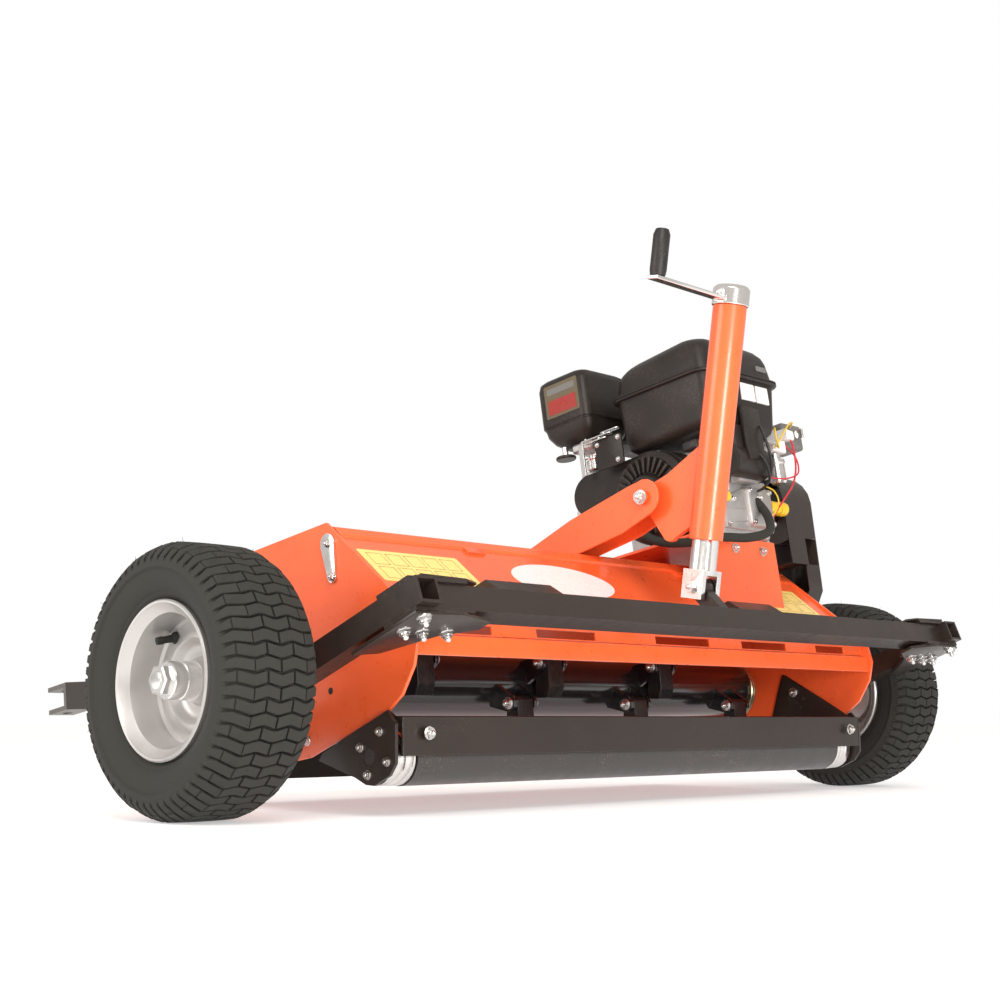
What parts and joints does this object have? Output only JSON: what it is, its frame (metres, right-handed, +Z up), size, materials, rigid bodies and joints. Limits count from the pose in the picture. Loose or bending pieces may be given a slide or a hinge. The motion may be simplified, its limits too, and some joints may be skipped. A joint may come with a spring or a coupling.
{
  "type": "brush mower",
  "caption": "Towed flail brush mower: an enclosed flail rotor under a folded deck on height-adjustable wheels, with petrol engine, screw jack, rear roller, parking stand and drawbar.",
  "frame": {"origin": "on the ground plane, under the middle of the overall box", "axes": "+X to the belt-drive side along the rotor, +Y forward to the hitch, +Z up"},
  "size_m": [1.902, 1.6176, 0.9632],
  "materials": {
    "orange_paint": "gloss powder coat, scuffed at the edges",
    "black_paint": "satin black paint",
    "bare_steel": "zinc-plated steel",
    "forged_steel": "forged, dark",
    "cast_alloy": "die-cast, dull",
    "wheel_paint": "silver paint",
    "tyre_rubber": "turf tread rubber",
    "sheet_rubber": "plain rubber",
    "black_plastic": "moulded black plastic",
    "yellow_plastic": "moulded yellow plastic"
  },
  "bodies": {
    "deck": {"deck_shell": "orange_paint", "side_plate_left": "orange_paint", "side_plate_right": "orange_paint", "rear_lip": "orange_paint", "front_curtain": "sheet_rubber", "scraper_bar": "black_paint", "slope_step_left": "black_paint", "slope_step_right": "black_paint", "roller_bracket_left": "black_paint", "roller_bracket_right": "black_paint", "mast_arm": "orange_paint", "engine_base": "orange_paint", "belt_cover": "black_paint", "drive_belt": "sheet_rubber", "crankcase": "cast_alloy", "cylinder_head": "cast_alloy", "fan_housing": "black_plastic", "recoil_cover": "black_plastic", "fuel_tank": "black_plastic", "air_cleaner": "black_plastic", "carburettor": "cast_alloy", "muffler": "black_paint", "starter_motor": "black_plastic", "control_box": "black_plastic", "oil_cap": "yellow_plastic", "conduit": "sheet_rubber", "drawbar": "black_paint", "hitch_coupling": "forged_steel"},
    "roller": {"roller": "black_paint"},
    "rotor": {"rotor_tube": "black_paint", "rotor_pulley": "forged_steel"},
    "crankshaft": {"engine_pulley": "forged_steel"},
    "wheel_frame": {"wheel_beam": "black_paint", "arm_left": "black_paint", "arm_right": "black_paint"},
    "wheel_left": {"rim_left": "wheel_paint", "tyre_left": "tyre_rubber"},
    "wheel_right": {"rim_right": "wheel_paint", "tyre_right": "tyre_rubber"},
    "jack_tube": {"jack_tube": "orange_paint"},
    "jack_ram": {"jack_ram": "bare_steel"},
    "crank": {"crank_arm": "bare_steel"},
    "grip": {"crank_grip": "black_plastic"},
    "starter_handle": {"recoil_handle": "black_plastic"},
    "fuel_cap": {"fuel_cap": "black_plastic"},
    "key": {"key_switch": "bare_steel"},
    "throttle": {"throttle_lever": "bare_steel"},
    "stand": {"parking_stand": "black_paint"},
    "flail_01": {"flail_01": "forged_steel"},
    "flail_02": {"flail_02": "forged_steel"},
    "flail_03": {"flail_03": "forged_steel"},
    "flail_04": {"flail_04": "forged_steel"},
    "flail_05": {"flail_05": "forged_steel"},
    "flail_06": {"flail_06": "forged_steel"},
    "flail_07": {"flail_07": "forged_steel"},
    "flail_08": {"flail_08": "forged_steel"},
    "flail_09": {"flail_09": "forged_steel"},
    "flail_10": {"flail_10": "forged_steel"},
    "flail_11": {"flail_11": "forged_steel"},
    "flail_12": {"flail_12": "forged_steel"}
  },
  "joints": [
    {"name": "wheel_frame_pivot", "type": "hinge", "parent": "deck", "child": "wheel_frame", "pos_m": [0, -0.24427, 0.11578], "axis": [1, 0, 0], "range_deg": [-1.5, 8]},
    {"name": "wheel_spin_left", "type": "hinge", "parent": "wheel_frame", "child": "wheel_left", "pos_m": [-0.87, -0.4354, 0.2025], "axis": [1, 0, 0], "continuous": true},
    {"name": "wheel_spin_right", "type": "hinge", "parent": "wheel_frame", "child": "wheel_right", "pos_m": [0.87, -0.4354, 0.2025], "axis": [1, 0, 0], "continuous": true},
    {"name": "roller_spin", "type": "hinge", "parent": "deck", "child": "roller", "pos_m": [0, -0.55233, 0.09009], "axis": [1, 0, 0], "continuous": true},
    {"name": "rotor_spin", "type": "hinge", "parent": "deck", "child": "rotor", "pos_m": [0, -0.34022, 0.20803], "axis": [1, 0, 0], "continuous": true},
    {"name": "crankshaft_spin", "type": "hinge", "parent": "deck", "child": "crankshaft", "pos_m": [0, -0.40705, 0.58805], "axis": [1, 0, 0], "continuous": true},
    {"name": "flail_01_swing", "type": "hinge", "parent": "rotor", "child": "flail_01", "pos_m": [-0.18, -0.42914, 0.1746], "axis": [1, 0, 0], "range_deg": [-190, 55]},
    {"name": "flail_02_swing", "type": "hinge", "parent": "rotor", "child": "flail_02", "pos_m": [0.14, -0.42914, 0.1746], "axis": [1, 0, 0], "range_deg": [-190, 55]},
    {"name": "flail_03_swing", "type": "hinge", "parent": "rotor", "child": "flail_03", "pos_m": [0.46, -0.42914, 0.1746], "axis": [1, 0, 0], "range_deg": [-190, 55]},
    {"name": "flail_04_swing", "type": "hinge", "parent": "rotor", "child": "flail_04", "pos_m": [-0.18, -0.25129, 0.24145], "axis": [1, 0, 0], "range_deg": [-14, 230]},
    {"name": "flail_05_swing", "type": "hinge", "parent": "rotor", "child": "flail_05", "pos_m": [0.14, -0.25129, 0.24145], "axis": [1, 0, 0], "range_deg": [-14, 230]},
    {"name": "flail_06_swing", "type": "hinge", "parent": "rotor", "child": "flail_06", "pos_m": [0.46, -0.25129, 0.24145], "axis": [1, 0, 0], "range_deg": [-14, 230]},
    {"name": "flail_07_swing", "type": "hinge", "parent": "rotor", "child": "flail_07", "pos_m": [-0.42, -0.42673, 0.24727], "axis": [1, 0, 0], "range_deg": [-235, 10]},
    {"name": "flail_08_swing", "type": "hinge", "parent": "rotor", "child": "flail_08", "pos_m": [-0.1, -0.42673, 0.24727], "axis": [1, 0, 0], "range_deg": [-235, 10]},
    {"name": "flail_09_swing", "type": "hinge", "parent": "rotor", "child": "flail_09", "pos_m": [0.22, -0.42673, 0.24727], "axis": [1, 0, 0], "range_deg": [-235, 10]},
    {"name": "flail_10_swing", "type": "hinge", "parent": "rotor", "child": "flail_10", "pos_m": [-0.42, -0.2537, 0.16878], "axis": [1, 0, 0], "range_deg": [-55, 190]},
    {"name": "flail_11_swing", "type": "hinge", "parent": "rotor", "child": "flail_11", "pos_m": [-0.1, -0.2537, 0.16878], "axis": [1, 0, 0], "range_deg": [-55, 190]},
    {"name": "flail_12_swing", "type": "hinge", "parent": "rotor", "child": "flail_12", "pos_m": [0.22, -0.2537, 0.16878], "axis": [1, 0, 0], "range_deg": [-55, 190]},
    {"name": "jack_tilt", "type": "hinge", "parent": "deck", "child": "jack_tube", "pos_m": [0, -0.59393, 0.54307], "axis": [1, 0, 0], "range_deg": [-11.4, 2.3]},
    {"name": "jack_slide", "type": "slide", "parent": "jack_tube", "child": "jack_ram", "axis": [0, 0.1504, -0.9886], "range_m": [-0.018, 0.091]},
    {"name": "crank_spin", "type": "hinge", "parent": "jack_tube", "child": "crank", "pos_m": [0, -0.69642, 0.37505], "axis": [0, -0.1504, 0.9886], "continuous": true},
    {"name": "grip_spin", "type": "hinge", "parent": "crank", "child": "grip", "pos_m": [-0.205, -0.69642, 0.37505], "axis": [0, -0.1504, 0.9886], "continuous": true},
    {"name": "starter_pull", "type": "slide", "parent": "deck", "child": "starter_handle", "axis": [0, -0.9806, 0.1961], "range_m": [0, 0.5], "stiffness_N_per_m": 20, "springref_m": -0.2},
    {"name": "fuel_cap_turn", "type": "hinge", "parent": "deck", "child": "fuel_cap", "pos_m": [0.35, -0.40656, 0.89712], "axis": [0, 0.1633, 0.9866], "range_deg": [0, 90]},
    {"name": "key_turn", "type": "hinge", "parent": "deck", "child": "key", "pos_m": [0.6, -0.49682, 0.74988], "axis": [0, 0.9866, -0.1633], "range_deg": [0, 90]},
    {"name": "throttle_swing", "type": "hinge", "parent": "deck", "child": "throttle", "pos_m": [0.2127, -0.22914, 0.70759], "axis": [1, 0, 0], "range_deg": [-20, 20]},
    {"name": "stand_slide", "type": "slide", "parent": "deck", "child": "stand", "axis": [0, 0.1633, 0.9866], "range_m": [0, 0.115]}
  ],
  "couplings": [
    {"joint": "crankshaft_spin", "follows": "rotor_spin", "ratio": 0.81818},
    {"joint": "jack_tilt", "follows": "wheel_frame_pivot", "ratio": -1.4},
    {"joint": "jack_slide", "follows": "wheel_frame_pivot", "m_per_rad": 0.64}
  ]
}
